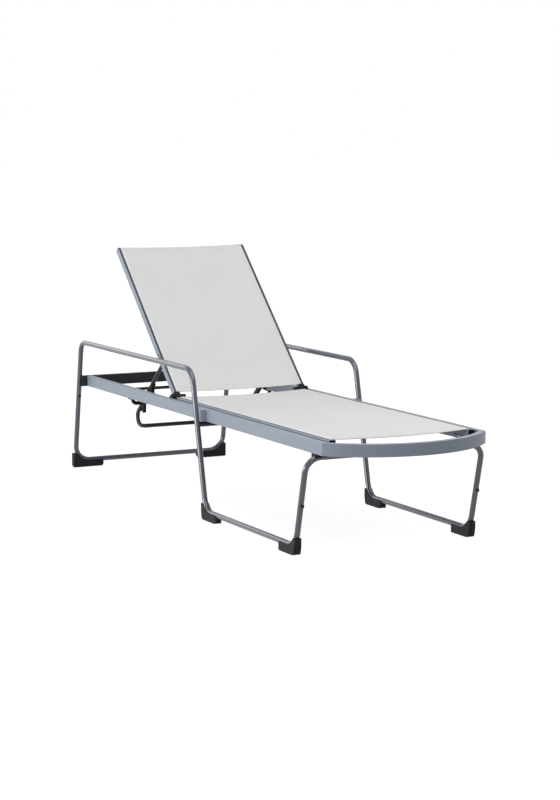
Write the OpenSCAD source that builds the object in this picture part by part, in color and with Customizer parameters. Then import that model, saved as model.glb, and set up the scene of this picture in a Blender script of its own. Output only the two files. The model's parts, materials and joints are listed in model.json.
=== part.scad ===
/* [Side rails] */
// Length of a side rail, from its foot corner to its rear end
rail_len = 1931; // [1700:1:2100]
// Width across the outer faces of both side rails
rail_span = 586; // [520:1:680]
// Height of the top of the side rails above the floor
rail_top = 367; // [330:1:420]
// Height of the rail profile
rail_h = 40; // [32:0.5:50]
// Width of the rail profile
rail_w = 22; // [18:0.5:30]
// Wall of the rail profile
rail_wall = 1.8; // [1.2:0.1:3]
// How far the foot bar bows out past the foot corners
foot_bow = 130; // [60:1:180]

/* [Bent tube frame] */
// Outer diameter of the frame tube
tube_d = 19; // [16:0.5:25]
// Wall of the frame tube
tube_wall = 1.6; // [1.2:0.1:2.4]
// Distance from the outer face of a side rail to the centre of the tube beside it
tube_out = 24.5; // [16:0.5:40]
// Height of the centre line of the arms
arm_h = 500; // [450:1:560]
// Distance from the foot corner to the front corner of the arms
arm_front_at = 899; // [800:1:1000]
// Distance from the rear corner of the arms to the rear ends of the side rails
arm_rear_back = 4; // [0:0.5:12]
// Distance from the foot corner to the top of the foot hoop
hoop_at = 55; // [40:1:120]
// Forward slant of the arm posts, in degrees
post_slant = 13; // [5:0.5:18]
// Slant of the foot hoop, in degrees
hoop_slant = 13.9; // [5:0.1:18]
// Backward lean of the rear legs, in degrees
rear_lean = 9.45; // [4:0.05:14]
// Bend radius at the front corner of the arms
arm_front_bend = 60; // [40:1:90]
// Bend radius at the rear corner of the arms
arm_rear_bend = 45; // [35:1:90]
// Bend radius at the floor
floor_bend = 60; // [40:1:70]
// Bend radius at the top of the foot hoop
hoop_bend = 48; // [35:1:70]

/* [Feet] */
// Height of a foot cap
cap_h = 54; // [40:1:80]
// Length of a foot cap along a side
cap_len = 102; // [90:1:150]
// Length of a rear foot cap, across the lounge
rear_cap_len = 114; // [90:1:150]
// Width of a foot cap
cap_w = 26; // [24:0.5:34]
// Rubber between the tube and the floor
cap_sole = 18; // [10:0.5:25]

/* [Sling rails] */
// Gap between a side rail and the sling rail beside it
sling_gap = 11.5; // [9:0.5:20]
// Width of a sling rail
sling_w = 21; // [18:0.5:28]
// Height of a sling rail
sling_h = 22; // [18:0.5:28]
// Wall of a sling rail
sling_wall = 1.8; // [1.2:0.1:2.2]
// Fall from the tops of the side rails to the middle of the seat's sling rails
sling_fall = 7; // [0:0.5:14]
// Diameter of the spline in the sling's hem
spline_d = 6; // [4:0.5:7]
// Thickness of the sling fabric
fabric_t = 1.6; // [1:0.1:3]
// Sag of the slings in the middle
sling_sag = 6; // [4:0.5:10]
// Distance from the foot corner to the front end of the seat's sling rails
seat_from = 17; // [10:1:60]
// Distance from the front end of the seat's sling rails to the edge of the sling
sling_inset = 9; // [4:1:30]
// Gap between the edge of the seat's sling and the hinge
seat_gap = 28; // [24:1:60]

/* [Backrest] */
// Distance from the foot corner to the hinge
hinge_at = 1178; // [1100:1:1250]
// Height of the hinge above the middle of the seat's sling rails
hinge_up = 10; // [0:0.5:14]
// Length of the backrest from the hinge to the tops of its rails
back_len = 725; // [600:1:740]
// Angle of the backrest above horizontal as it stands
recline = 43.6; // [35:0.1:50]
// Diameter of the hinge pins
pin_d = 8; // [6:0.5:10]

/* [Prop] */
// Distance from the hinge to the prop's pivot, along the backrest
prop_at = 185; // [170:1:200]
// Gap between a back rail and the strut beside it
prop_gap = 1; // [0.5:0.1:4]
// Diameter of the prop's tube
prop_d = 15; // [12:0.5:16]
// Length of the straight of a strut, from its pivot to its hook
strut_len = 340; // [330:1:370]
// Bend radius of the hook at the end of a strut
hook_bend = 30; // [26:1:40]
// Turn of the hook at the end of a strut, in degrees
hook_turn = 130; // [110:1:140]
// Distance from the notch that is in use to the end of the strut's straight
notch_back = 76; // [65:1:90]
// Diameter of the pegs that the prop rests on
peg_d = 14; // [10:0.5:16]
// Depth of the pegs below the side rails
peg_below = 17.5; // [15:0.5:30]

/* [Hidden] */
$fn = 48;

// Overrun of every cut
over = 1;
// Gap of a piece that only rests against another
seat_gap_fit = 0.1;
// Gap on each side of a pin or a sleeve
run_fit = 0.05;
// Gap beside anything that turns
side_fit = 0.3;
// Number of sides of an arc in an outline
arc_steps = 12;

metal = "#8c949e";
metal_dark = "#4b5563";
black = "#2a2a2c";
cloth = "#dcdcdc";
steel = "#b9bcc0";

tube_r = tube_d / 2;
prop_r = prop_d / 2;
peg_r = peg_d / 2;
pin_r = pin_d / 2;
rail_x = rail_span / 2;
rail_in = rail_x - rail_w;
rail_low = rail_top - rail_h;
tube_x = rail_x + tube_out;
sling_out = rail_in - sling_gap;
sling_x = sling_out - sling_w / 2;
sling_in = sling_out - sling_w;
sling_z = rail_top - sling_fall;
prop_x = sling_in - prop_gap - prop_r;
notch_at = strut_len - notch_back;
floor_z = cap_sole + tube_r;
arm_rear_at = rail_len - arm_rear_back;

// Pads and distances that belong to the frame
pad_t = 3;
join_h_share = 0.42;
join_y_share = 0.5;
connector_len = 80;

// Places along the length: the origin is the middle of the whole lounge
rear_floor_at = arm_rear_at + (arm_h - floor_z) * tan(rear_lean);
rear_reach = rear_floor_at + floor_z * sin(rear_lean) + cap_w / 2 * cos(rear_lean);
foot_y = (foot_bow - rear_reach) / 2;
rail_end_y = foot_y + rail_len;
arm_front_y = foot_y + arm_front_at;
arm_rear_y = foot_y + arm_rear_at;
post_floor_y = arm_front_y - (arm_h - floor_z) * tan(post_slant);
hoop_y = foot_y + hoop_at;
hoop_z = rail_low - pad_t - tube_r;
hoop_floor_y = hoop_y + (hoop_z - floor_z) * tan(hoop_slant);
rear_floor_y = foot_y + rear_floor_at;
hinge_y = foot_y + hinge_at;
hinge_z = sling_z + hinge_up;
join_y = (post_floor_y + hoop_floor_y) * join_y_share;
join_z = rail_low * join_h_share;

// Where the axis of the front posts, rear legs and hoop legs passes a height
function post_y(z) = arm_front_y - (arm_h - z) * tan(post_slant);
function rear_y(z) = arm_rear_y + (arm_h - z) * tan(rear_lean);
function hoop_leg_y(z) = hoop_y + (hoop_z - z) * tan(hoop_slant);

// A point [y, z] reached from another by going along a slope and square to it
function reach(from, angle, along, up) = [
    from[0] + along * cos(angle) - up * sin(angle),
    from[1] + along * sin(angle) + up * cos(angle)
];

// The prop's pivot is a little under the middle of the back rail
prop_drop = 5;
pivot = reach([hinge_y, hinge_z], recline, prop_at, -prop_drop);
rack_strip = 4.5;
rack_deep = prop_r + rack_strip;
notch_deep = 3.5;
peg_drop = rack_deep + peg_r - notch_deep + side_fit;
peg_z = rail_low - peg_below;

// Fall of the struts below horizontal, which brings the notch down to the pegs
prop_fall = asin((pivot[1] - peg_z) / norm([notch_at, peg_drop])) - atan2(peg_drop, notch_at);
peg = reach(pivot, -prop_fall, notch_at, -peg_drop);

// Vectors
function unit(v) = v / norm(v);
function turn_between(a, b) = acos(max(-1, min(1, a * b)));

// The places where the straights of a run end, short of each bend
function run_in(p, i, r) = let(a = unit(p[i] - p[i - 1]), b = unit(p[i + 1] - p[i]))
    p[i] - a * r * tan(turn_between(a, b) / 2);
function run_out(p, i, r) = let(a = unit(p[i] - p[i - 1]), b = unit(p[i + 1] - p[i]))
    p[i] + b * r * tan(turn_between(a, b) / 2);

// Puts its children with their Z axis along w and their X axis along u
module framed(o, u, w) {
    v = cross(w, u);
    multmatrix([
        [u[0], v[0], w[0], o[0]],
        [u[1], v[1], w[1], o[1]],
        [u[2], v[2], w[2], o[2]],
        [0, 0, 0, 1]
    ]) children();
}

// Section of a tube, or of a bar where wall is zero
module tube_section(r, wall) {
    difference() {
        circle(r);
        if (wall > 0) circle(r - wall);
    }
}

// A straight tube between two points
steep_share = 0.9;
function heading(p, i) = unit(p[i + 1] - p[i]);
module straight(a, b, r, wall) {
    w = unit(b - a);
    u = unit(cross(w, abs(w[0]) > steep_share ? [0, 0, 1] : [1, 0, 0]));
    framed(a, u, w) linear_extrude(norm(b - a)) tube_section(r, wall);
}

// A bend from the direction a to the direction b, which starts at p
module bend(p, a, b, radius, r) {
    w = unit(cross(a, b));
    u = cross(a, w);
    framed(p - u * radius, u, w) rotate_extrude(angle = turn_between(a, b)) translate([radius, 0]) circle(r);
}

// A bar bent along p, longer by more at both ends, with bends a hair thicker than its straights
swell = 0.05;
lap = 0.5;
module bar(p, radii, r, more) {
    last = len(p) - 1;
    for (i = [0 : last - 1]) {
        w = heading(p, i);
        from = i == 0 ? p[0] - w * more : run_out(p, i, radii[i - 1]) - w * lap;
        to = i == last - 1 ? p[last] + w * more : run_in(p, i + 1, radii[i]) + w * lap;
        straight(from, to, r, 0);
    }
    for (i = [1 : last - 1])
        bend(run_in(p, i, radii[i - 1]), heading(p, i - 1), heading(p, i), radii[i - 1], r + swell);
}

// The same as a tube, or as a bar where wall is zero
module run(p, radii, r, wall) {
    difference() {
        bar(p, radii, r, 0);
        if (wall > 0) bar(p, radii, r - wall, over);
    }
}

// Section of a box extrusion, standing on the middle of its foot
module box_section(w, h, wall) {
    difference() {
        translate([-w / 2, 0]) square([w, h]);
        translate([-w / 2 + wall, wall]) square([w - 2 * wall, h - 2 * wall]);
    }
}

// A shape and its mirror image on the other side
module both_sides() {
    children();
    mirror([1, 0, 0]) children();
}

// Foot bar: an arc whose ends meet the side rails in a mitre
bow_r = (rail_x * rail_x + foot_bow * foot_bow) / (2 * foot_bow);
bow_y = foot_y - foot_bow + bow_r;
mitre_y = bow_y - sqrt(pow(bow_r - rail_w, 2) - rail_in * rail_in);
mitre_angle = atan2(mitre_y - foot_y, rail_w);

// Everything on the foot side of the mitre at the left corner
module mitre_cut() {
    translate([-rail_x, foot_y, 0]) rotate([0, 0, mitre_angle])
        translate([-rail_span / 2, -rail_span, rail_low - over])
            cube([rail_span, rail_span, rail_h + 2 * over]);
}

module side_rail() {
    color(metal) difference() {
        translate([-rail_x + rail_w / 2, rail_end_y, rail_low]) rotate([90, 0, 0])
            linear_extrude(rail_len + rail_w) box_section(rail_w, rail_h, rail_wall);
        mitre_cut();
    }
}
module left_side_rail() { side_rail(); }
module right_side_rail() { mirror([1, 0, 0]) side_rail(); }

module foot_bar() {
    half_angle = asin(rail_x / bow_r) + mitre_angle / 2;
    color(metal) difference() {
        translate([0, bow_y, rail_low]) rotate([0, 0, -90 - half_angle])
            rotate_extrude(angle = 2 * half_angle)
                translate([bow_r - rail_w / 2, 0]) box_section(rail_w, rail_h, rail_wall);
        both_sides() translate([-rail_x, foot_y, 0]) rotate([0, 0, mitre_angle])
            translate([-rail_span / 4, 0, rail_low - over])
                cube([rail_span / 2, rail_span / 2, rail_h + 2 * over]);
    }
}

// Rear crossbar, coped round the rear legs
module rear_crossbar() {
    color(metal_dark) difference() {
        translate([-tube_x, rail_end_y + rail_w / 2, rail_low]) rotate([90, 0, 90])
            linear_extrude(2 * tube_x) box_section(rail_w, rail_h, rail_wall);
        both_sides() straight([-tube_x, rear_y(0), 0], [-tube_x, rear_y(arm_h), arm_h],
                              tube_r + seat_gap_fit, 0);
    }
}

// Bent tubes of the frame
arm_path = [
    [-tube_x, rear_y(join_z), join_z],
    [-tube_x, arm_rear_y, arm_h],
    [-tube_x, arm_front_y, arm_h],
    [-tube_x, post_floor_y, floor_z],
    [-tube_x, join_y, floor_z]
];
arm_radii = [arm_rear_bend, arm_front_bend, floor_bend];
module arm_loop() { color(metal) run(arm_path, arm_radii, tube_r, tube_wall); }
module left_arm_loop() { arm_loop(); }
module right_arm_loop() { mirror([1, 0, 0]) arm_loop(); }

rear_path = [
    [-tube_x, rear_y(join_z), join_z],
    [-tube_x, rear_floor_y, floor_z],
    [tube_x, rear_floor_y, floor_z],
    [tube_x, rear_y(join_z), join_z]
];
module rear_leg_hoop() { color(metal) run(rear_path, [floor_bend, floor_bend], tube_r, tube_wall); }

hoop_path = [
    [-tube_x, join_y, floor_z],
    [-tube_x, hoop_floor_y, floor_z],
    [-tube_x, hoop_y, hoop_z],
    [tube_x, hoop_y, hoop_z],
    [tube_x, hoop_floor_y, floor_z],
    [tube_x, join_y, floor_z]
];
hoop_radii = [floor_bend, hoop_bend, hoop_bend, floor_bend];
module foot_leg_hoop() { color(metal) run(hoop_path, hoop_radii, tube_r, tube_wall); }

// Sleeves inside the tubes where two of them meet
module tube_connectors() {
    r = tube_r - tube_wall - run_fit;
    rise = unit(arm_path[1] - arm_path[0]) * connector_len / 2;
    ahead = [0, connector_len / 2, 0];
    color(steel) both_sides() {
        straight(arm_path[0] - rise, arm_path[0] + rise, r, tube_wall);
        straight(arm_path[4] - ahead, arm_path[4] + ahead, r, tube_wall);
    }
}

// Cross tube under the side rails, coped to the front posts
cross_z = rail_low - tube_r - side_fit;
module front_cross_tube() {
    color(metal_dark) difference() {
        straight([-tube_x, post_y(cross_z), cross_z], [tube_x, post_y(cross_z), cross_z], tube_r, tube_wall);
        both_sides() straight([-tube_x, post_y(0), 0], [-tube_x, post_y(arm_h), arm_h],
                              tube_r + seat_gap_fit, 0);
    }
}

// Bowed rod between the side rails that ties their rear ends, cut flat to their inner faces
rod_d = 12;
rod_back = 141;
rod_dip = 26;
rod_h_share = 0.55;
rod_end_z = rail_low + rail_h * rod_h_share;
rod_run = 70;
module rear_rest_rod() {
    y = rail_end_y - rod_back;
    rod_path = [
        [-rail_in, y, rod_end_z],
        [-rail_in + rod_run, y, rod_end_z - rod_dip],
        [rail_in - rod_run, y, rod_end_z - rod_dip],
        [rail_in, y, rod_end_z]
    ];
    color(metal_dark) difference() {
        bar(rod_path, [rod_run, rod_run], rod_d / 2, rod_d);
        both_sides() translate([-rail_x, y - rod_d, rail_low]) cube([rail_w, 2 * rod_d, rail_h]);
    }
}

// Bracket between a front post and the side rail
bracket_out = 4;
bracket_front = 25;
module post_bracket() {
    y = post_y(rail_low + rail_h / 2);
    color(metal) difference() {
        translate([-tube_x + bracket_out, y - bracket_front, rail_low])
            cube([tube_x - bracket_out - rail_x, bracket_front + tube_r, rail_h]);
        straight([-tube_x, post_y(0), 0], [-tube_x, post_y(arm_h), arm_h], tube_r + seat_gap_fit, 0);
    }
}
module left_post_bracket() { post_bracket(); }
module right_post_bracket() { mirror([1, 0, 0]) post_bracket(); }

// Peg that a strut of the prop rests on, on a plate under the side rail
peg_plate_t = 3;
peg_plate_len = 44;
peg_past = 2;
module catch_peg() {
    x = -rail_x + rail_w / 2;
    z = rail_low - peg_plate_t;
    end_x = -prop_x + prop_r + peg_past;
    color(black) {
        run([[x, peg[0], z + peg_plate_t / 2], [x, peg[0], peg[1]], [end_x, peg[0], peg[1]]],
            [z - peg[1]], peg_r, 0);
        translate([-rail_x, peg[0] - peg_plate_len / 2, z]) cube([rail_w, peg_plate_len, peg_plate_t]);
    }
}
module left_catch_peg() { catch_peg(); }
module right_catch_peg() { mirror([1, 0, 0]) catch_peg(); }

// Pads between the foot hoop and the side rails
hoop_pad_len = 30;
module hoop_pads() {
    color(black) both_sides() difference() {
        translate([-rail_x, hoop_y - hoop_pad_len / 2, hoop_z])
            cube([rail_w, hoop_pad_len, rail_low - hoop_z]);
        run([hoop_path[1], hoop_path[2], hoop_path[3]], [hoop_bend], tube_r + seat_gap_fit, 0);
    }
}

// Foot cap in the plane of a bend: the bar runs to +X for len and the leg rises at the angle a
cap_toe = 13;
cap_round = 9;
heel_out = cap_w / 2;
cap_side = 1.5;
rear_heel_out = tube_r + cap_side;
module cap_outline(a, len, heel_w) {
    t = floor_bend * tan((180 - a) / 2);
    slope = [cos(a), sin(a)];
    out = [-sin(a), cos(a)] * heel_w;
    heel = out - slope * (floor_z + out[1]) / slope[1];
    intersection() {
        polygon(concat(
            [[len, 0]],
            [for (k = [0 : arc_steps]) let(w = -90 * k / arc_steps)
                [len - cap_toe + cap_toe * cos(w), cap_toe - floor_z + cap_toe * sin(w)]],
            [for (k = [0 : arc_steps]) let(w = k / arc_steps)
                heel + (1 - w) * (1 - w) * [cap_round, 0] + w * w * slope * cap_round],
            [out + slope * t],
            [for (k = [0 : arc_steps]) let(w = -90 - (180 - a) * (1 - k / arc_steps))
                [t + floor_bend * cos(w), floor_bend + floor_bend * sin(w)]]
        ));
        translate([-len, -floor_z]) square([3 * len, cap_h]);
    }
}
module foot_cap(a, len, heel_w) {
    far = len + floor_bend;
    color(black) difference() {
        translate([0, cap_w / 2, 0]) rotate([90, 0, 0]) linear_extrude(cap_w) cap_outline(a, len, heel_w);
        run([[far, 0, 0], [0, 0, 0], [cos(a), 0, sin(a)] * far], [floor_bend], tube_r + seat_gap_fit, 0);
    }
}
module post_foot() {
    translate([-tube_x, post_floor_y, floor_z]) rotate([0, 0, -90])
        foot_cap(90 + post_slant, cap_len, heel_out);
}
module end_foot() {
    translate([-tube_x, hoop_floor_y, floor_z]) rotate([0, 0, 90])
        foot_cap(90 + hoop_slant, cap_len, heel_out);
}
module rear_foot() {
    color(black) difference() {
        translate([-tube_x, rear_floor_y, floor_z]) rotate([rear_lean, 0, 0])
            foot_cap(90, rear_cap_len, rear_heel_out);
        translate([-tube_x - cap_len, rear_floor_y - cap_len, -cap_len])
            cube([3 * cap_len, 2 * cap_len, cap_len]);
    }
}
module post_foot_left() { post_foot(); }
module post_foot_right() { mirror([1, 0, 0]) post_foot(); }
module end_foot_left() { end_foot(); }
module end_foot_right() { mirror([1, 0, 0]) end_foot(); }
module rear_foot_left() { rear_foot(); }
module rear_foot_right() { mirror([1, 0, 0]) rear_foot(); }

// Bumpers that keep stacked lounges apart, on the foot side of the legs
bumper_d = 11;
bumper_len = 7;
bumper_tip_share = 0.7;
end_bumper_fall = 151;
rear_bumper_fall = 39;
module bumper(y, z, slant) {
    translate([-tube_x, y, z]) rotate([90 + slant, 0, 0]) difference() {
        union() {
            cylinder(h = tube_r + bumper_len / 2, d = bumper_d);
            translate([0, 0, tube_r + bumper_len / 2])
                cylinder(h = bumper_len / 2, d1 = bumper_d, d2 = bumper_d * bumper_tip_share);
        }
        rotate([90, 0, 0]) cylinder(h = 2 * tube_d, r = tube_r + seat_gap_fit, center = true);
    }
}
module stacking_bumpers() {
    color(black) both_sides() {
        bumper(hoop_leg_y(hoop_z - end_bumper_fall), hoop_z - end_bumper_fall, hoop_slant);
        bumper(rear_y(rail_low - rear_bumper_fall), rail_low - rear_bumper_fall, rear_lean);
    }
}

// Sling rail: a chamber below, one on each side, and a groove along the middle of the top
mouth = 2 * fabric_t;
groove_r = spline_d / 2 + fabric_t / 2 + 2 * run_fit;
groove_up = sling_h / 2 - sling_wall - groove_r;
rib_up = groove_up - groove_r - sling_wall;
module sling_section() {
    side_x = groove_r + sling_wall;
    difference() {
        translate([-sling_w / 2, -sling_h / 2]) square([sling_w, sling_h]);
        translate([0, groove_up]) circle(groove_r);
        translate([-mouth / 2, groove_up]) square([mouth, sling_h]);
        translate([-sling_w / 2 + sling_wall, -sling_h / 2 + sling_wall])
            square([sling_w - 2 * sling_wall, rib_up + sling_h / 2 - sling_wall]);
        for (dir = [0, 1]) mirror([dir, 0]) translate([side_x, rib_up + sling_wall])
            square([sling_w / 2 - sling_wall - side_x, sling_h / 2 - rib_up - 2 * sling_wall]);
    }
}
module sling_rail(from, to) {
    translate([-sling_x, to, 0]) rotate([90, 0, 0]) linear_extrude(to - from) sling_section();
}

// Spline in the groove, inside the hem of the sling
module sling_spline(from, to) {
    translate([-sling_x, to, groove_up]) rotate([90, 0, 0])
        cylinder(h = to - from, d = spline_d);
}

// Sling: it dips between the rails, lies on their tops and turns down into their grooves
module sling_sheet(from, to) {
    top = sling_h / 2 + side_fit + fabric_t;
    lip_x = sling_x;
    lip_low = groove_up + spline_d / 2 + seat_gap_fit;
    r = (sling_in * sling_in + sling_sag * sling_sag) / (2 * sling_sag);
    a = asin(sling_in / r);
    dip = [for (k = [-arc_steps : arc_steps])
        [r * sin(a * k / arc_steps), top - sling_sag + r - r * cos(a * k / arc_steps)]];
    translate([0, to, 0]) rotate([90, 0, 0]) linear_extrude(to - from) polygon(concat(
        [[-lip_x - fabric_t / 2, lip_low], [-lip_x - fabric_t / 2, top]],
        dip,
        [[lip_x + fabric_t / 2, top], [lip_x + fabric_t / 2, lip_low], [lip_x - fabric_t / 2, lip_low],
         [lip_x - fabric_t / 2, top - fabric_t]],
        [for (k = [2 * arc_steps : -1 : 0]) dip[k] - [0, fabric_t]],
        [[-lip_x + fabric_t / 2, top - fabric_t], [-lip_x + fabric_t / 2, lip_low]]
    ));
}

// Spreader between two sling rails, just under the lowest line of the sling
spreader_d = 13;
spreader_z = sling_h / 2 - sling_sag - spreader_d / 2;
module spreader(y) {
    color(metal_dark) translate([-sling_in, y, spreader_z]) rotate([0, 90, 0])
        linear_extrude(2 * sling_in) tube_section(spreader_d / 2, tube_wall);
}

// Cap on the end of a sling rail, on the side dir of the end
end_cap_t = 4;
module rail_cap(y, dir) {
    translate([-sling_out, dir > 0 ? y : y - end_cap_t, -sling_h / 2]) cube([sling_w, end_cap_t, sling_h]);
}

// Seat
seat_y = foot_y + seat_from;
swing_r = norm([sling_h / 2, end_cap_t + pin_d]);
seat_end_y = hinge_y - swing_r - end_cap_t - 2 * over;
seat_sheet_from = seat_y + sling_inset;
seat_sheet_to = hinge_y - seat_gap;
front_spreader_in = 110;
rear_spreader_in = 100;
module at_seat() { translate([0, 0, sling_z]) children(); }

cleat_shares = [0.06, 0.36, 0.66, 0.94];
cleat_len = 30;
cleat_t = 3;
cleat_h = 20;
screw_d = 5;
screw_head_d = 9;
screw_head_h = 3;
function cleat_y(share) = seat_y + (seat_end_y - seat_y) * share;

module seat_rail() {
    color(metal) at_seat() difference() {
        sling_rail(seat_y, seat_end_y);
        for (share = cleat_shares)
            translate([-sling_x, cleat_y(share), -sling_h]) cylinder(h = sling_h, d = screw_d + 2 * run_fit);
    }
}
module left_seat_rail() { seat_rail(); }
module right_seat_rail() { mirror([1, 0, 0]) seat_rail(); }
module seat_sling() { color(cloth) at_seat() sling_sheet(seat_sheet_from, seat_sheet_to); }
module seat_splines() { color(black) at_seat() both_sides() sling_spline(seat_sheet_from, seat_sheet_to); }
module seat_front_spreader() { at_seat() spreader(seat_sheet_from + front_spreader_in); }
module seat_rear_spreader() { at_seat() spreader(seat_sheet_to - rear_spreader_in); }
module seat_rail_caps() {
    color(black) at_seat() both_sides() {
        rail_cap(seat_y, -1);
        rail_cap(seat_end_y, 1);
    }
}

// Angle cleats that carry the seat's rails on the inner faces of the side rails
cleat_top = sling_z - sling_h / 2 - seat_gap_fit;
module seat_rail_cleats() {
    color(metal_dark) both_sides() for (share = cleat_shares) difference() {
        union() {
            translate([-rail_in, cleat_y(share) - cleat_len / 2, cleat_top - cleat_h])
                cube([cleat_t, cleat_len, cleat_h]);
            translate([-rail_in, cleat_y(share) - cleat_len / 2, cleat_top - cleat_t])
                cube([rail_in - sling_in, cleat_len, cleat_t]);
        }
        translate([-sling_x, cleat_y(share), cleat_top - cleat_h])
            cylinder(h = cleat_h + over, d = screw_d + 2 * run_fit);
    }
}
module cleat_screws() {
    color(steel) both_sides() for (share = cleat_shares)
        translate([-sling_x, cleat_y(share), cleat_top - cleat_t - screw_head_h]) {
            cylinder(h = screw_head_h, d = screw_head_d);
            cylinder(h = screw_head_h + cleat_t + sling_wall + screw_d / 2, d = screw_d);
        }
}

// Hinge: a plate on each side rail carries a pin, and a bush in the back rail turns on it
plate_front = 16;
plate_rear = 44;
plate_foot = 8;
plate_rise = 15;
plate_round = 11;
flange_t = 2.4;
plate_t = sling_gap - seat_gap_fit - flange_t - side_fit;
flange_d = 18;
bush_d = 12;
knob_d = 18;
knob_len = 20;
plate_x = rail_in - seat_gap_fit;
module hinge_bracket() {
    low = rail_low + plate_foot - hinge_z;
    color(black) translate([-plate_x, hinge_y, hinge_z]) rotate([90, 0, 90]) linear_extrude(plate_t)
        difference() {
            polygon(concat(
                [[-plate_front, low], [plate_rear, low], [plate_rear, low + plate_rise]],
                [for (k = [0 : arc_steps]) let(w = 45 + 135 * k / arc_steps) plate_round * [cos(w), sin(w)]]
            ));
            circle(pin_r + run_fit);
        }
}
module left_hinge_bracket() { hinge_bracket(); }
module right_hinge_bracket() { mirror([1, 0, 0]) hinge_bracket(); }
module hinge_pins() {
    color(black) both_sides() translate([0, hinge_y, hinge_z]) rotate([0, 90, 0]) {
        translate([0, 0, -plate_x]) cylinder(h = plate_x - sling_in + side_fit, r = pin_r);
        translate([0, 0, -sling_in + side_fit]) cylinder(h = knob_len, d = knob_d);
    }
}

// Backrest, drawn flat from the hinge and turned up to its recline
back_end = back_len - end_cap_t;
back_start = -pin_d;
back_sheet_from = 14;
back_sheet_to = back_len - sling_inset;
low_spreader_at = 70;
top_spreader_in = 56;
top_spreader_at = back_sheet_to - top_spreader_in;
module at_back() { translate([0, hinge_y, hinge_z]) rotate([recline, 0, 0]) children(); }
module across(s, up, from, to, r) {
    translate([-from, s, up]) rotate([0, 90, 0]) cylinder(h = from - to, r = r);
}
module back_rail() {
    color(metal) at_back() difference() {
        sling_rail(back_start, back_end);
        across(0, 0, sling_out + over, sling_in - over, bush_d / 2 + run_fit);
        across(prop_at, -prop_drop, sling_out + over, sling_in - over, pin_r + run_fit);
    }
}
module left_back_rail() { back_rail(); }
module right_back_rail() { mirror([1, 0, 0]) back_rail(); }
module back_sling() { color(cloth) at_back() sling_sheet(back_sheet_from, back_sheet_to); }
module back_splines() { color(black) at_back() both_sides() sling_spline(back_sheet_from, back_sheet_to); }
module back_top_spreader() { at_back() spreader(top_spreader_at); }
module back_bottom_spreader() { at_back() spreader(low_spreader_at); }
module back_rail_caps() {
    color(black) at_back() both_sides() {
        rail_cap(back_start, -1);
        rail_cap(back_end, 1);
    }
}
module hinge_bushes() {
    color(black) at_back() both_sides() difference() {
        union() {
            across(0, 0, sling_out, sling_in, bush_d / 2);
            across(0, 0, sling_out + flange_t, sling_out, flange_d / 2);
        }
        across(0, 0, sling_out + flange_t + over, sling_in - over, pin_r + run_fit);
    }
}

// Pins that the prop turns on, headed at both ends
eye_d = 18;
eye_in = 0.5;
eye_w = prop_d - 2 * eye_in;
pin_head_d = 14;
pin_head_t = 2;
module prop_pivot_pins() {
    inner = prop_x - prop_r - side_fit;
    outer = sling_out + seat_gap_fit;
    color(steel) at_back() both_sides() {
        across(prop_at, -prop_drop, outer + pin_head_t, inner - pin_head_t, pin_r);
        across(prop_at, -prop_drop, outer + pin_head_t, outer, pin_head_d / 2);
        across(prop_at, -prop_drop, inner, inner - pin_head_t, pin_head_d / 2);
    }
}

// Prop, drawn with its struts along +Y from the pivot and their undersides towards -Z
prop_elbow = 14;
elbow_gap = 2;
hook_side = hook_bend * tan(hook_turn / 2);
hook_corner = [0, strut_len + hook_side, 0];
bail_at = hook_corner + [0, cos(hook_turn), -sin(hook_turn)] * (hook_side + elbow_gap + prop_elbow);
module at_prop() { translate([0, pivot[0], pivot[1]]) rotate([-prop_fall, 0, 0]) children(); }
module prop_bail() {
    side = [prop_x, 0, 0];
    color(metal_dark) at_prop() difference() {
        union() {
            run([-side, hook_corner - side, bail_at - side, bail_at + side, hook_corner + side, side],
                [hook_bend, prop_elbow, prop_elbow, hook_bend], prop_r, tube_wall);
            both_sides() across(0, 0, prop_x + eye_w / 2, prop_x - eye_w / 2, eye_d / 2);
        }
        both_sides() across(0, 0, prop_x + eye_w, prop_x - eye_w, pin_r + run_fit);
    }
}

// Rack under a strut: a strip with notches and two hooks that guard the pegs
rack_before = 114;
rack_from = notch_at - rack_before;
rack_w = 12;
rack_end_gap = 4;
rack_slope = 8;
hook_root_w = 12;
hook_tip_w = 8;
hook_rise = 50;
hook_reach = 33;
hook_roots = [-90, 14.6];
notch_steps = [-59, 0, 45];
module rack_hook(root) {
    along = [sin(90 - hook_rise), -cos(90 - hook_rise)];
    square_to = [-along[1], along[0]];
    tip = root + along * hook_reach;
    polygon(concat(
        [root - square_to * hook_root_w / 2, root + square_to * hook_root_w / 2],
        [for (k = [0 : arc_steps]) let(w = 180 * k / arc_steps)
            tip + square_to * hook_tip_w / 2 * cos(w) + along * hook_tip_w / 2 * sin(w)]
    ));
}
module rack_strip() {
    to = strut_len - rack_end_gap;
    polygon([[rack_from, 0], [rack_from + rack_slope, -rack_deep], [to - rack_slope, -rack_deep], [to, 0]]);
}
module prop_rack() {
    color(black) at_prop() difference() {
        translate([-prop_x - rack_w / 2, 0, 0]) rotate([90, 0, 90]) union() {
            linear_extrude(rack_w) rack_strip();
            for (root = hook_roots) linear_extrude(rack_w) rack_hook([notch_at + root, -prop_r]);
        }
        for (step = notch_steps)
            across(notch_at + step, -peg_drop, prop_x + rack_w, prop_x - rack_w, peg_r + side_fit);
        straight([-prop_x, 0, 0], [-prop_x, strut_len, 0], prop_r + seat_gap_fit, 0);
    }
}
module left_prop_rack() { prop_rack(); }
module right_prop_rack() { mirror([1, 0, 0]) prop_rack(); }

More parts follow.
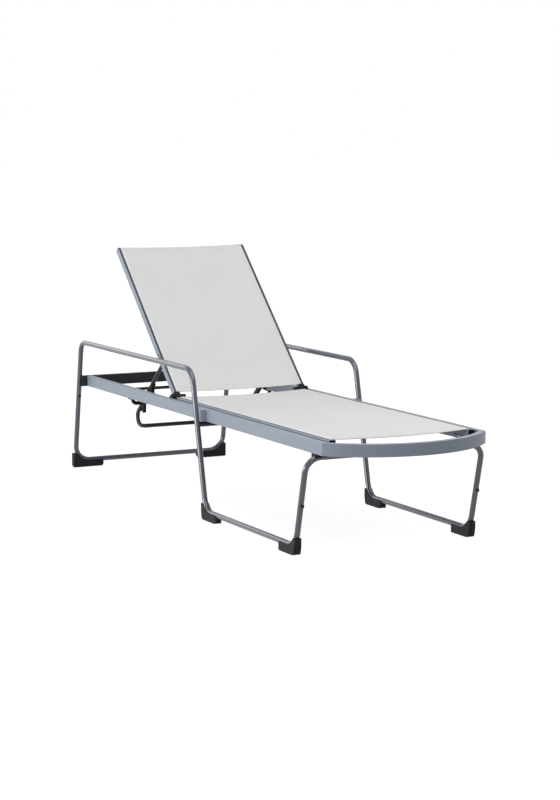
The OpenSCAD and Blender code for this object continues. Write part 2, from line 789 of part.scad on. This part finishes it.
left_side_rail();
right_side_rail();
foot_bar();
rear_crossbar();
left_arm_loop();
right_arm_loop();
rear_leg_hoop();
foot_leg_hoop();
tube_connectors();
front_cross_tube();
rear_rest_rod();
left_post_bracket();
right_post_bracket();
left_catch_peg();
right_catch_peg();
hoop_pads();
rear_foot_left();
rear_foot_right();
post_foot_left();
post_foot_right();
end_foot_left();
end_foot_right();
stacking_bumpers();
left_seat_rail();
right_seat_rail();
seat_sling();
seat_splines();
seat_front_spreader();
seat_rear_spreader();
seat_rail_caps();
seat_rail_cleats();
cleat_screws();
left_hinge_bracket();
right_hinge_bracket();
hinge_pins();
left_back_rail();
right_back_rail();
back_sling();
back_splines();
back_top_spreader();
back_bottom_spreader();
back_rail_caps();
hinge_bushes();
prop_pivot_pins();
prop_bail();
left_prop_rack();
right_prop_rack();
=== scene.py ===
"""Looks of the stacking chaise lounge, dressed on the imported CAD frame. Lengths are in metres, +Y is the head end."""

import json
import math

import bmesh
import bpy
from mathutils import Matrix, Vector

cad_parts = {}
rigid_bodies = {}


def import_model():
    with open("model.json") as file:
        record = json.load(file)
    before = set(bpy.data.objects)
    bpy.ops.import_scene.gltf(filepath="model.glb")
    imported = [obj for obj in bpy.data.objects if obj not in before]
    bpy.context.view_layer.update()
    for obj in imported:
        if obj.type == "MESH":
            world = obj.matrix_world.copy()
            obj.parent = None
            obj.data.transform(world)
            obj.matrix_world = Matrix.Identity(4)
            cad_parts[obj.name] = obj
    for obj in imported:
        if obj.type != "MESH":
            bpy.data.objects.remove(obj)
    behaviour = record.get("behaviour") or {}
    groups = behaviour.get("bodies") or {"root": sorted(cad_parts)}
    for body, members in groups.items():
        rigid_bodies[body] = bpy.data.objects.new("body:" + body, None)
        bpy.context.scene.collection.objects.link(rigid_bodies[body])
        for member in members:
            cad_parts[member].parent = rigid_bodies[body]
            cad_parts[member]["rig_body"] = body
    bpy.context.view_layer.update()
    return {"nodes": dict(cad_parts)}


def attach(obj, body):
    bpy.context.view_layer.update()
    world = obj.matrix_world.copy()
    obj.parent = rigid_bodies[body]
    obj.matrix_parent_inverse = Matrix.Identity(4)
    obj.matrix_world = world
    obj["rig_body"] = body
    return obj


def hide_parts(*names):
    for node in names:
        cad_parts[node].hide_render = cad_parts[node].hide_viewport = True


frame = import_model()
nodes = frame["nodes"]

MM = 0.001

# Sizes of the CAD that the looks follow
FOOT_Y = -946.492 * MM
HINGE = Vector((0, 231.508, 370)) * MM
SEAT_Z = 360 * MM
RECLINE = math.radians(43.6)
SLING_X, SLING_W, SLING_H = 249 * MM, 21 * MM, 22 * MM
RAIL_IN, RAIL_OUT = SLING_X - SLING_W / 2, SLING_X + SLING_W / 2

# Frames of the seat's and the back's sling rails: Y runs along them, the rails' middle is at Z 0
SEAT_PLACE = Matrix.Translation(Vector((0, 0, SEAT_Z)))
BACK_PLACE = Matrix.Translation(HINGE) @ Matrix.Rotation(RECLINE, 4, "X")
BACK_TRIM = 7 * MM

# Cloth
CLOTH_T = 1.4 * MM
CLOTH_Z = 12.1 * MM
LIP_LOW, LIP_TURN, LIP_RADIUS = 8.6 * MM, 10.6 * MM, 1.5 * MM
SAG = 6 * MM
SAG_RADIUS = (RAIL_IN * RAIL_IN + SAG * SAG) / (2 * SAG)
HEM = 24 * MM
SEAT_START, SEAT_END = FOOT_Y + 26 * MM, HINGE.y - 28 * MM
BACK_START, BACK_END = 14 * MM, 716 * MM


# Materials
def new_material(name):
    mat = bpy.data.materials.new(name)
    mat.use_nodes = True
    tree = mat.node_tree
    tree.nodes.clear()
    out = tree.nodes.new("ShaderNodeOutputMaterial")
    shader = tree.nodes.new("ShaderNodeBsdfPrincipled")
    tree.links.new(shader.outputs["BSDF"], out.inputs["Surface"])
    return mat, tree, shader


def noise(tree, source, scale, detail, stretch=None):
    node = tree.nodes.new("ShaderNodeTexNoise")
    node.inputs["Scale"].default_value = scale
    node.inputs["Detail"].default_value = detail
    if stretch:
        mapping = tree.nodes.new("ShaderNodeMapping")
        mapping.inputs["Scale"].default_value = stretch
        tree.links.new(source, mapping.inputs["Vector"])
        source = mapping.outputs["Vector"]
    tree.links.new(source, node.inputs["Vector"])
    return node.outputs["Fac"]


def ranged(tree, value, low, high, from_low=0.3, from_high=0.7):
    node = tree.nodes.new("ShaderNodeMapRange")
    node.inputs["From Min"].default_value = from_low
    node.inputs["From Max"].default_value = from_high
    node.inputs["To Min"].default_value = low
    node.inputs["To Max"].default_value = high
    tree.links.new(value, node.inputs["Value"])
    return node.outputs["Result"]


def tinted(tree, value, first, second):
    node = tree.nodes.new("ShaderNodeMix")
    node.data_type = "RGBA"
    tree.links.new(value, node.inputs["Factor"])
    node.inputs["A"].default_value = (*first, 1)
    node.inputs["B"].default_value = (*second, 1)
    return node.outputs["Result"]


def maths(tree, operation, a, b=None):
    node = tree.nodes.new("ShaderNodeMath")
    node.operation = operation
    for socket, value in zip(node.inputs, (a, b)):
        if value is None:
            continue
        if isinstance(value, (int, float)):
            socket.default_value = value
        else:
            tree.links.new(value, socket)
    return node.outputs["Value"]


def bumped(tree, shader, height, strength, distance):
    node = tree.nodes.new("ShaderNodeBump")
    node.inputs["Strength"].default_value = strength
    node.inputs["Distance"].default_value = distance
    tree.links.new(height, node.inputs["Height"])
    tree.links.new(node.outputs["Normal"], shader.inputs["Normal"])


def shade(color, factor):
    return tuple(min(1.0, c * factor) for c in color)


def coated(name, color, *, rough, spread, grain, strength, metallic=0.0, coat=0.0, level=0.5):
    """Coated or moulded surface: soft variation of colour, small roughness changes and a fine skin."""
    mat, tree, shader = new_material(name)
    place = tree.nodes.new("ShaderNodeTexCoord").outputs["Object"]
    broad = noise(tree, place, 7, 4)
    fine = noise(tree, place, grain, 2)
    mixed = maths(tree, "ADD", maths(tree, "MULTIPLY", broad, 0.75), maths(tree, "MULTIPLY", fine, 0.25))
    tree.links.new(
        tinted(tree, ranged(tree, mixed, 0, 1), shade(color, 1 - spread), shade(color, 1 + spread)),
        shader.inputs["Base Color"],
    )
    tree.links.new(ranged(tree, noise(tree, place, 45, 5), rough - 0.05, rough + 0.06), shader.inputs["Roughness"])
    shader.inputs["Metallic"].default_value = metallic
    shader.inputs["Specular IOR Level"].default_value = level
    shader.inputs["Coat Weight"].default_value = coat
    shader.inputs["Coat Roughness"].default_value = 0.2
    bumped(tree, shader, fine, strength, 0.12 * MM)
    return mat


def woven(name, color, pitch=2.2 * MM):
    """Coated mesh: two yarns that pass over and under each other. Its colour is painted darker in the hollows between
    them and lighter on the raised crossings, as painted shade and highlight, over the yarns' slubs and broad tone.
    """
    mat, tree, shader = new_material(name)
    coords = tree.nodes.new("ShaderNodeTexCoord")
    split = tree.nodes.new("ShaderNodeSeparateXYZ")
    tree.links.new(coords.outputs["UV"], split.inputs["Vector"])
    turn = 2 * math.pi / pitch
    across = maths(tree, "SINE", maths(tree, "MULTIPLY", split.outputs["X"], turn))
    along = maths(tree, "SINE", maths(tree, "MULTIPLY", split.outputs["Y"], turn))
    yarns = maths(tree, "MAXIMUM", maths(tree, "ABSOLUTE", across), maths(tree, "ABSOLUTE", along))
    over = maths(tree, "MULTIPLY", across, along)
    height = maths(tree, "ADD", yarns, maths(tree, "MULTIPLY", over, 0.35))
    place = coords.outputs["Object"]
    slub = noise(tree, place, 260, 2, (1, 0.06, 1))
    broad = noise(tree, place, 4, 3)
    # Colour from the yarns' slubs and broad tone, plus painted shade in the hollows and painted highlight on the raised
    # crossings, taken from the weave's height.
    tone_and_hollow_shade = maths(tree, "ADD", maths(tree, "MULTIPLY", height, 0.55), maths(tree, "MULTIPLY", slub, 0.25))
    tone_and_hollow_shade = maths(tree, "ADD", tone_and_hollow_shade, maths(tree, "MULTIPLY", broad, 0.3))
    tree.links.new(
        tinted(tree, ranged(tree, tone_and_hollow_shade, 0, 1, 0.35, 1.15), shade(color, 0.84), shade(color, 1.05)),
        shader.inputs["Base Color"],
    )
    tree.links.new(ranged(tree, slub, 0.62, 0.8), shader.inputs["Roughness"])
    shader.inputs["Sheen Weight"].default_value = 0.12
    shader.inputs["Sheen Roughness"].default_value = 0.5
    bumped(tree, shader, height, 0.5, 0.4 * MM)
    return mat


FRAME_GREY = coated(
    "frame_satin_grey", (0.225, 0.262, 0.318), rough=0.48, spread=0.05, grain=1400, strength=0.2, coat=0.1)
# Near-black strip material: painted shade, standing in for the shadow in the rails' grooves beside the cloth.
GROOVE_SHADE = coated(
    "painted_groove_shade", (0.045, 0.048, 0.055), rough=0.5, spread=0.08, grain=1100, strength=0.3, level=0.3)
# A much darker copy of the frame paint: painted shade for the crossbars, spreaders, rods, bail and cleats that sit in
# shadow under and behind the frame.
SHADED_FRAME_GREY = coated(
    "shaded_satin_grey", (0.02, 0.023, 0.031), rough=0.45, spread=0.06, grain=1400, strength=0.2, level=0.3)
BLACK = coated(
    "moulded_black", (0.010, 0.010, 0.011), rough=0.5, spread=0.15, grain=900, strength=0.5, level=0.12)
RUBBER = coated(
    "foot_rubber_black", (0.014, 0.014, 0.016), rough=0.6, spread=0.18, grain=600, strength=0.7, level=0.16)
ZINC = coated(
    "zinc_plated", (0.55, 0.56, 0.58), rough=0.3, spread=0.06, grain=900, strength=0.2, metallic=1.0)
# Tubes: the frame paint with more gloss and a much darker base. The darker base is painted shade, standing in for the
# dark sides and reflections along the tubes.
TUBE_SHADED_GREY = coated(
    "tube_grey_painted_shade", (0.040, 0.051, 0.073), rough=0.27, spread=0.05, grain=1400, strength=0.2, coat=0.3,
    level=0.7)
CLOTH = woven("sling_mesh_white", (0.78, 0.78, 0.775))
THREAD = coated("sewing_thread", (0.62, 0.62, 0.61), rough=0.7, spread=0.1, grain=2200, strength=0.6)

for name, node in nodes.items():
    if name.endswith(("side_rail", "post_bracket", "seat_rail", "back_rail")) or name == "foot_bar":
        made = FRAME_GREY
    elif name.endswith(("arm_loop", "leg_hoop")):
        made = TUBE_SHADED_GREY
    elif name in ("cleat_screws", "prop_pivot_pins", "tube_connectors"):
        made = ZINC
    # These parts take the darker copy of the frame paint, as painted shade.
    elif "spreader" in name or name in (
        "rear_crossbar", "front_cross_tube", "rear_rest_rod", "prop_bail", "seat_rail_cleats",
    ):
        made = SHADED_FRAME_GREY
    elif "foot_" in name:
        made = RUBBER
    elif "sling" in name:
        made = CLOTH
    else:
        made = BLACK
    node.data.materials.clear()
    node.data.materials.append(made)


# Mesh helpers
def piece(name, bm, body, mat, sharp_from):
    """The object that a bmesh describes, on its body and slot, with edges sharp from an angle in degrees."""
    mesh = bpy.data.meshes.new(name)
    bm.to_mesh(mesh)
    bm.free()
    obj = bpy.data.objects.new(name, mesh)
    bpy.context.scene.collection.objects.link(obj)
    mesh.materials.append(mat)
    for poly in mesh.polygons:
        poly.use_smooth = True
    mesh.set_sharp_from_angle(angle=math.radians(sharp_from))
    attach(obj, body)
    return obj


def body_of(name):
    return nodes[name]["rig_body"]


def node_mesh(name, place, weld, flat):
    """A bmesh of a CAD node in the frame of place: doubles welded, faces within flat degrees joined."""
    bm = bmesh.new()
    bm.from_mesh(nodes[name].data)
    bmesh.ops.transform(bm, matrix=place.inverted(), verts=bm.verts)
    bmesh.ops.remove_doubles(bm, verts=bm.verts, dist=weld)
    bmesh.ops.dissolve_limit(bm, angle_limit=math.radians(flat), verts=bm.verts, edges=bm.edges)
    return bm


def rounded(bm, edges, radius, segments=3):
    bmesh.ops.bevel(bm, geom=edges, offset=radius, segments=segments, profile=0.5, affect="EDGES")


def length_along(edge):
    return abs(edge.verts[0].co.y - edge.verts[1].co.y)


def loft(bm, rings):
    """Closed skin through rings of vertices. Returns the faces of its sides, ring by ring. Normals come later."""
    sides = []
    for a, b in zip(rings, rings[1:]):
        for k in range(len(a)):
            n = (k + 1) % len(a)
            sides.append(bm.faces.new((a[k], a[n], b[n], b[k])))
    bm.faces.new(rings[0])
    bm.faces.new(list(reversed(rings[-1])))
    return sides


def round_in_plan(bm, radius, cuts=5):
    """Turn the four upright corners of a moulded block into arcs: cut the mesh there, then draw the cuts in."""
    spans = [(min(v.co[axis] for v in bm.verts), max(v.co[axis] for v in bm.verts)) for axis in (0, 1)]
    middle = [(low + high) / 2 for low, high in spans]
    core = [(high - low) / 2 - radius for low, high in spans]
    for (low, high), normal in zip(spans, (Vector((1, 0, 0)), Vector((0, 1, 0)))):
        for k in range(1, cuts + 1):
            for at in (low + radius * k / cuts, high - radius * k / cuts):
                geom = bm.verts[:] + bm.edges[:] + bm.faces[:]
                bmesh.ops.bisect_plane(bm, geom=geom, dist=0.002 * MM, plane_co=normal * at, plane_no=normal)
    for v in bm.verts:
        side = [v.co[axis] - middle[axis] for axis in (0, 1)]
        past = [max(0.0, abs(side[axis]) - core[axis]) for axis in (0, 1)]
        if min(past) > 0:
            scale = max(past) / math.hypot(*past)
            for axis in (0, 1):
                v.co[axis] = middle[axis] + math.copysign(core[axis] + past[axis] * scale, side[axis])


# Rails, caps and brackets with rounded edges
def softened(name, width, angle=28, corner=0.0):
    """The piece that stands for a CAD node, with its edges rounded; corner is the radius of its upright corners."""
    bm = node_mesh(name, Matrix(), 0.02 * MM, 1.5)
    if corner:
        round_in_plan(bm, corner)
    obj = piece("soft_" + name, bm, body_of(name), nodes[name].data.materials[0], 180)
    bevel = obj.modifiers.new("edges", "BEVEL")
    bevel.width = width
    bevel.segments = 3
    bevel.limit_method = "ANGLE"
    bevel.angle_limit = math.radians(angle)
    bevel.use_clamp_overlap = True
    flat = obj.modifiers.new("flat_faces", "WEIGHTED_NORMAL")
    flat.weight = 100
    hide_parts(name)
    return obj


SOFT_EDGES = (
    (("left_side_rail", "right_side_rail", "foot_bar"), 2.4 * MM, "frame_aluminium"),
    (("left_post_bracket", "right_post_bracket"), 1.5 * MM, "frame_aluminium"),
    (("left_hinge_bracket", "right_hinge_bracket", "seat_rail_caps", "back_rail_caps", "hoop_pads"),
     1.2 * MM, "black_plastic"),
)
soft = {name: softened(name, width) for names, width, slot in SOFT_EDGES for name in names}
for name in nodes:
    if "_foot_" in name:
        softened(name, 1.2 * MM, angle=40, corner=9 * MM)


# Sling rails: the CAD's profiles with rounded outer corners, a near-black strip beside the cloth that paints the
# groove's shade, and sleeves at the hinge
def shorten(bm, trim, end_zone=12 * MM):
    """Bring what lies at the far end back by trim, in the rail's own frame."""
    far = max(v.co.y for v in bm.verts)
    for v in bm.verts:
        if v.co.y > far - end_zone:
            v.co.y -= trim


def sling_rail(name, place, trim):
    near, radius = 0.05 * MM, 1.6 * MM
    bm = node_mesh(name, place, 0.01 * MM, 0.5)
    shorten(bm, trim)

    def at_corner(v):
        return abs(abs(v.co.z) - SLING_H / 2) < near and abs(abs(abs(v.co.x) - SLING_X) - SLING_W / 2) < near

    rounded(bm, [e for e in bm.edges if all(at_corner(v) for v in e.verts) and length_along(e) > 3 * MM], radius)
    bmesh.ops.transform(bm, matrix=place, verts=bm.verts)
    obj = piece("dressed_" + name, bm, body_of(name), nodes[name].data.materials[0], 32)
    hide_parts(name)
    return obj


def trim_back_caps(mesh):
    """Take away the lower caps, where the hinge sleeves are, and bring the upper ones down with the rails."""
    bm = bmesh.new()
    bm.from_mesh(mesh)
    bmesh.ops.transform(bm, matrix=BACK_PLACE.inverted(), verts=bm.verts)
    bmesh.ops.delete(bm, geom=[v for v in bm.verts if v.co.y < BACK_END / 2], context="VERTS")
    shorten(bm, BACK_TRIM)
    bmesh.ops.transform(bm, matrix=BACK_PLACE, verts=bm.verts)
    bm.to_mesh(mesh)
    bm.free()


def hinge_sleeve(name, body, place, side, start, end):
    """Black moulded end of a back rail, round the hinge: a closed sleeve with soft edges."""
    wall, inner_wall, end_radius, edge_radius = 0.8 * MM, 0.25 * MM, 3.2 * MM, 1.4 * MM
    inner, outer = RAIL_IN - inner_wall, RAIL_OUT + wall
    half = SLING_H / 2 + wall
    section = ((inner, -half), (outer, -half), (outer, half), (inner, half))
    bm = bmesh.new()
    loft(bm, [[bm.verts.new((side * x, y, z)) for x, z in section] for y in (start, end)])
    rounded(bm, [e for e in bm.edges if all(v.co.y == start for v in e.verts)], end_radius, segments=5)
    rounded(bm, [e for e in bm.edges if length_along(e) > 8 * MM], edge_radius)
    bmesh.ops.recalc_face_normals(bm, faces=bm.faces)
    bmesh.ops.transform(bm, matrix=place, verts=bm.verts)
    piece(name, bm, body, BLACK, 40)


def groove_shade_strip(name, body, place, side, start, end, rows=12):
    """Crowned near-black strip beside the cloth, on the outer half of the rail's top: painted shade, standing in for
    the shadow in the groove.
    """
    low, high = SLING_H / 2 - 0.3 * MM, SLING_H / 2 + 0.9 * MM
    shoulder, crown = high - 0.5 * MM, high - 0.1 * MM
    section = ((1.1, low), (1.1, shoulder), (1.6, crown), (3.2, high),
               (6.2, high), (7.9, crown), (8.5, shoulder), (8.5, low))
    bm = bmesh.new()
    loft(bm, [
        [
            bm.verts.new(place @ Vector((side * (SLING_X + x * MM), start + (end - start) * j / rows, z)))
            for x, z in section
        ]
        for j in range(rows + 1)
    ])
    bmesh.ops.recalc_face_normals(bm, faces=bm.faces)
    piece(name, bm, body, GROOVE_SHADE, 40)


rails = {name: sling_rail(name, SEAT_PLACE, 0.0) for name in ("left_seat_rail", "right_seat_rail")}
rails.update({name: sling_rail(name, BACK_PLACE, BACK_TRIM) for name in ("left_back_rail", "right_back_rail")})
trim_back_caps(soft["back_rail_caps"].data)


# Slings
def sag_z(x):
    """Height of the cloth's middle at x, between the rails."""
    return CLOTH_Z - SAG + SAG_RADIUS - math.sqrt(SAG_RADIUS * SAG_RADIUS - x * x)


def sling_profile(lip_steps=4, dip_steps=40):
    """Points [x, z] from one groove, over the rail, down into the dip and up to the other groove."""
    side = [(-SLING_X, LIP_LOW), (-SLING_X, LIP_TURN)]
    for k in range(1, lip_steps + 1):
        turn = math.pi / 2 * k / lip_steps
        side.append((-SLING_X + LIP_RADIUS * (1 - math.cos(turn)), LIP_TURN + LIP_RADIUS * math.sin(turn)))
    side.append((-RAIL_IN - 2 * MM, CLOTH_Z))
    spread = [RAIL_IN * (2 * k / dip_steps - 1) for k in range(dip_steps + 1)]
    return side + [(x, sag_z(x)) for x in spread] + [(-x, z) for x, z in reversed(side)]


def make_sling(name, body, place, start, end, replaced, rows=90):
    profile = sling_profile()
    run = [0.0]
    for a, b in zip(profile, profile[1:]):
        run.append(run[-1] + math.dist(a, b))
    bm = bmesh.new()
    uv = bm.loops.layers.uv.new("cloth")
    along = [start + (end - start) * j / rows for j in range(rows + 1)]
    grid = [[bm.verts.new(place @ Vector((x, y, z))) for x, z in profile] for y in along]
    for j in range(rows):
        for i in range(len(profile) - 1):
            corners = ((j, i), (j, i + 1), (j + 1, i + 1), (j + 1, i))
            face = bm.faces.new([grid[a][b] for a, b in corners])
            for loop, (a, b) in zip(face.loops, corners):
                loop[uv].uv = (run[b], along[a])
    obj = piece(name, bm, body, CLOTH, 60)
    thick = obj.modifiers.new("cloth", "SOLIDIFY")
    thick.thickness = CLOTH_T
    thick.offset = 0
    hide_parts(replaced)
    hems = [
        make_hem(f"{name}_hem_{k}", body, place, y, side)
        for k, y, side in (("low", start, 1), ("high", end, -1))
    ]
    threads = make_stitches(name + "_stitches", body, place, start, end)


def make_hem(name, body, place, y, side, fold_steps=8, steps=40):
    """Folded hem: the cloth turns back under itself round a soft edge."""
    inner = RAIL_IN - 3 * MM
    section = [(HEM, -1.5 * MM)]
    for k in range(fold_steps + 1):
        turn = -math.pi / 2 - math.pi * k / fold_steps
        section.append((1.3 * MM * math.cos(turn), -0.55 * MM + 1.25 * MM * math.sin(turn)))
    section += [(3 * MM, 0.75 * MM), (6 * MM, 0.2 * MM), (HEM, -0.4 * MM)]
    bm = bmesh.new()
    uv = bm.loops.layers.uv.new("cloth")
    spread = [inner * (2 * i / steps - 1) for i in range(steps + 1)]
    rings = [[bm.verts.new(place @ Vector((x, y + side * dy, sag_z(x) + dz))) for dy, dz in section] for x in spread]
    for index, face in enumerate(loft(bm, rings)):
        i, k = divmod(index, len(section))
        for loop, (a, b) in zip(face.loops, ((i, k), (i, k + 1), (i + 1, k + 1), (i + 1, k))):
            loop[uv].uv = (a * 2 * inner / steps, b * 2 * MM)
    bmesh.ops.recalc_face_normals(bm, faces=bm.faces)
    return piece(name, bm, body, CLOTH, 60)


def make_stitches(name, body, place, start, end, sides=6):
    """Rows of thread that hold the hems."""
    length, pitch, half_width, half_height = 4 * MM, 5.4 * MM, 0.45 * MM, 0.4 * MM
    shape = ((0, 0.1), (0.6 * MM, 0.75), (length / 2, 0.9), (3.4 * MM, 0.75), (length, 0.1))
    turns = [math.pi * 2 * t / sides for t in range(sides)]
    inner = RAIL_IN - 6 * MM
    bm = bmesh.new()
    for y in (start + HEM - 3 * MM, start + HEM - 8 * MM, end - HEM + 3 * MM, end - HEM + 8 * MM):
        x = -inner
        while x < inner:
            z = sag_z(x + length / 2) + CLOTH_T / 2
            loft(bm, [
                [
                    bm.verts.new(place @ Vector((
                        x + dx, y + half_width * size * math.cos(a), z + half_height * size * (math.sin(a) + 0.2))))
                    for a in turns
                ]
                for dx, size in shape
            ])
            x += pitch
    bmesh.ops.recalc_face_normals(bm, faces=bm.faces)
    return piece(name, bm, body, THREAD, 60)


make_sling("seat_cloth", "frame", SEAT_PLACE, SEAT_START, SEAT_END,
           "seat_sling")
make_sling("back_cloth", "backrest", BACK_PLACE, BACK_START, BACK_END,
           "back_sling")
# The near-black strips on each rail paint the shade of the groove beside the cloth.
for side, word in ((-1, "left"), (1, "right")):
    groove_shade_strip(f"{word}_seat_groove_shade", "frame", SEAT_PLACE, side, SEAT_START, SEAT_END)
    groove_shade_strip(f"{word}_back_groove_shade", "backrest", BACK_PLACE, side, BACK_START, BACK_END)
    hinge_sleeve(f"{word}_hinge_sleeve", "backrest", BACK_PLACE, side, -12 * MM, BACK_START - 0.5 * MM)


# Stage
def flat_plane(name, size, z):
    mesh = bpy.data.meshes.new(name)
    mesh.from_pydata([(-size, -size, z), (size, -size, z), (size, size, z), (-size, size, z)], [], [(0, 1, 2, 3)])
    obj = bpy.data.objects.new(name, mesh)
    bpy.context.scene.collection.objects.link(obj)
    return obj


def seen_by_eye(tree):
    """1 for rays from the camera, or that come to it off metal or through glass."""
    path = tree.nodes.new("ShaderNodeLightPath")
    return maths(tree, "MAXIMUM", path.outputs["Is Camera Ray"],
                 maths(tree, "MAXIMUM", path.outputs["Is Glossy Ray"], path.outputs["Is Transmission Ray"]))


def grey(value):
    return value, value, value


def either(tree, unseen, seen):
    """The first shader for the rays that light the scene, the second for those that the eye sees."""
    mix = tree.nodes.new("ShaderNodeMixShader")
    tree.links.new(seen_by_eye(tree), mix.inputs["Fac"])
    tree.links.new(unseen, mix.inputs[1])
    tree.links.new(seen, mix.inputs[2])
    return mix.outputs["Shader"]


floor = flat_plane("studio_floor", 60, -0.5 * MM)
floor_mat, tree, shader = new_material("studio_floor")
shader.inputs["Roughness"].default_value = 0.9
shader.inputs["Specular IOR Level"].default_value = 0.1
place = tree.nodes.new("ShaderNodeTexCoord").outputs["Object"]
tree.links.new(
    tinted(tree, ranged(tree, noise(tree, place, 0.6, 2), 0, 1), grey(0.30), grey(0.32)),
    shader.inputs["Base Color"],
)
glow = tree.nodes.new("ShaderNodeEmission")
away = tree.nodes.new("ShaderNodeVectorMath")
away.operation = "LENGTH"
tree.links.new(place, away.inputs[0])
tree.links.new(
    tinted(tree, ranged(tree, away.outputs["Value"], 0, 1, 1.6, 4.0), grey(0.88), grey(0.94)),
    glow.inputs["Color"],
)
glow.inputs["Strength"].default_value = 1.0
both = tree.nodes.new("ShaderNodeAddShader")
tree.links.new(shader.outputs["BSDF"], both.inputs[0])
tree.links.new(glow.outputs["Emission"], both.inputs[1])
floor_out = next(n for n in tree.nodes if n.type == "OUTPUT_MATERIAL")
tree.links.new(either(tree, shader.outputs["BSDF"], both.outputs["Shader"]), floor_out.inputs["Surface"])
floor.data.materials.append(floor_mat)

world = bpy.data.worlds.new("studio")
bpy.context.scene.world = world
world.use_nodes = True
tree = world.node_tree
tree.nodes.clear()
out = tree.nodes.new("ShaderNodeOutputWorld")
skies = []
for color, strength in (((0.93, 0.96, 1.0, 1), 0.20), ((1, 1, 1, 1), 1.0)):
    sky = tree.nodes.new("ShaderNodeBackground")
    sky.inputs["Color"].default_value = color
    sky.inputs["Strength"].default_value = strength
    skies.append(sky.outputs["Background"])
tree.links.new(either(tree, *skies), out.inputs["Surface"])


# Lamps and camera
def softbox(name, where, target, size, power):
    light = bpy.data.lights.new(name, "AREA")
    light.shape = "RECTANGLE"
    light.size, light.size_y = size
    light.energy = power
    obj = bpy.data.objects.new(name, light)
    bpy.context.scene.collection.objects.link(obj)
    obj.location = where
    obj.rotation_euler = (Vector(target) - Vector(where)).to_track_quat("-Z", "Y").to_euler()


softbox("top_box", (-0.4, -1.9, 4.0), (0, 0, 0.3), (3.6, 3.6), 142)
softbox("left_box", (-4.3, 0.45, 0.75), (0, 0, 0.4), (4.2, 1.2), 148)
softbox("rear_box", (-1.9, 4.7, 1.9), (-0.2, 0.3, 0.5), (3.4, 2.4), 38)

# The camera fitted to the photograph, whose longer side is 800 pixels
FOCAL_PIXELS, PHOTO_PIXELS, SENSOR = 2051.8, 800, 36
CAMERA_AT = (-3.1894, -6.3795, 1.3102)
forward = Vector((0.4481, 0.8843, -0.1306)).normalized()
right = Vector((0.892, -0.452, 0)).normalized()
up = right.cross(forward)

camera = bpy.data.cameras.new("camera")
camera.sensor_width = SENSOR
camera.sensor_fit = "AUTO"
camera.lens = FOCAL_PIXELS * SENSOR / PHOTO_PIXELS
camera.clip_start, camera.clip_end = 0.1, 200
cam = bpy.data.objects.new("camera", camera)
bpy.context.scene.collection.objects.link(cam)
rows = [(right[k], up[k], -forward[k], CAMERA_AT[k]) for k in range(3)]
cam.matrix_world = Matrix((*rows, (0, 0, 0, 1)))
bpy.context.scene.camera = cam
bpy.context.scene.view_settings.view_transform = "Standard"
